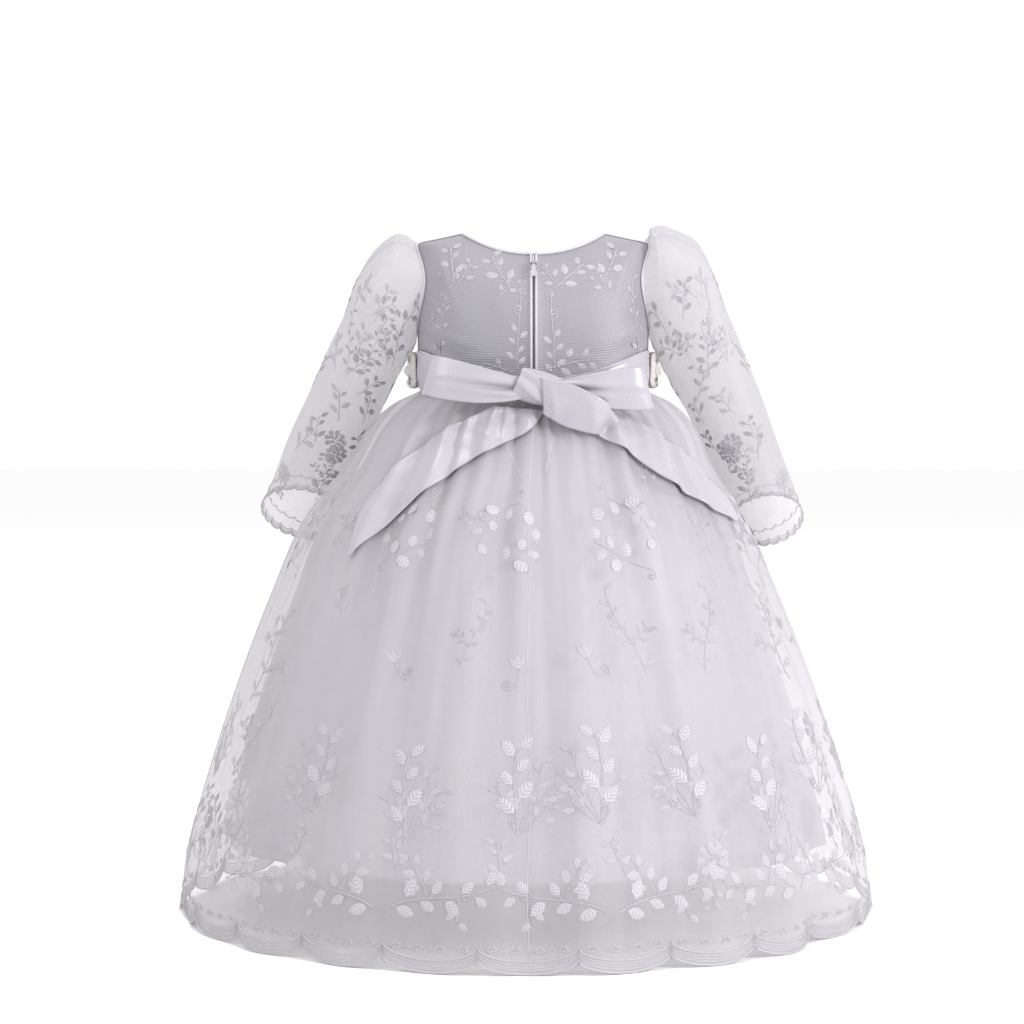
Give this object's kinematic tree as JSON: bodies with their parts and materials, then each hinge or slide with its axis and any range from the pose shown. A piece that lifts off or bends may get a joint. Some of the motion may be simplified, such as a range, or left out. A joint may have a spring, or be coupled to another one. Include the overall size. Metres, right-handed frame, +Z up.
{
  "type": "christening gown",
  "caption": "Long-sleeved christening gown, filled out as worn: embroidered tulle over a lining, back zip, satin sash tied in a bow and a scalloped hem.",
  "frame": {"origin": "midway between the shoulders at the height of the neck points, where the wearer holds the gown up", "axes": "+Z up, the back of the gown faces -Y, the front faces +Y, and the wearer's right is +X"},
  "size_m": [0.5898, 0.5616, 0.5779],
  "materials": {
    "bodice_lace": "matte",
    "embroidered_tulle": "matte",
    "lining": "matte",
    "satin": "satin",
    "guipure_lace": "matte",
    "zip_tape": "matte",
    "zip_metal": "satin"
  },
  "bodies": {
    "garment": {"bodice_front": "bodice_lace", "bodice_back_left": "bodice_lace", "bodice_back_right": "bodice_lace", "sleeve_left": "embroidered_tulle", "sleeve_right": "embroidered_tulle", "cuff_lace_left": "embroidered_tulle", "cuff_lace_right": "embroidered_tulle", "skirt_overlay_front": "embroidered_tulle", "skirt_overlay_back_left": "embroidered_tulle", "skirt_overlay_back_right": "embroidered_tulle", "skirt_lining_front": "lining", "skirt_lining_back": "lining", "sash_band": "satin", "waist_flower_trim": "guipure_lace", "bow_loop_left": "satin", "bow_loop_right": "satin", "bow_knot": "satin", "sash_tail_left": "satin", "sash_tail_right": "satin", "zip_tape": "zip_tape", "zip_slider": "zip_metal"},
    "zip_pull": {"zip_pull_tab": "zip_metal"}
  },
  "joints": [
    {"name": "zip_pull_swing", "type": "hinge", "parent": "garment", "child": "zip_pull", "pos_m": [0, -0.0525, -0.02507], "axis": [-1, 0, 0], "range_deg": [0, 120]}
  ]
}
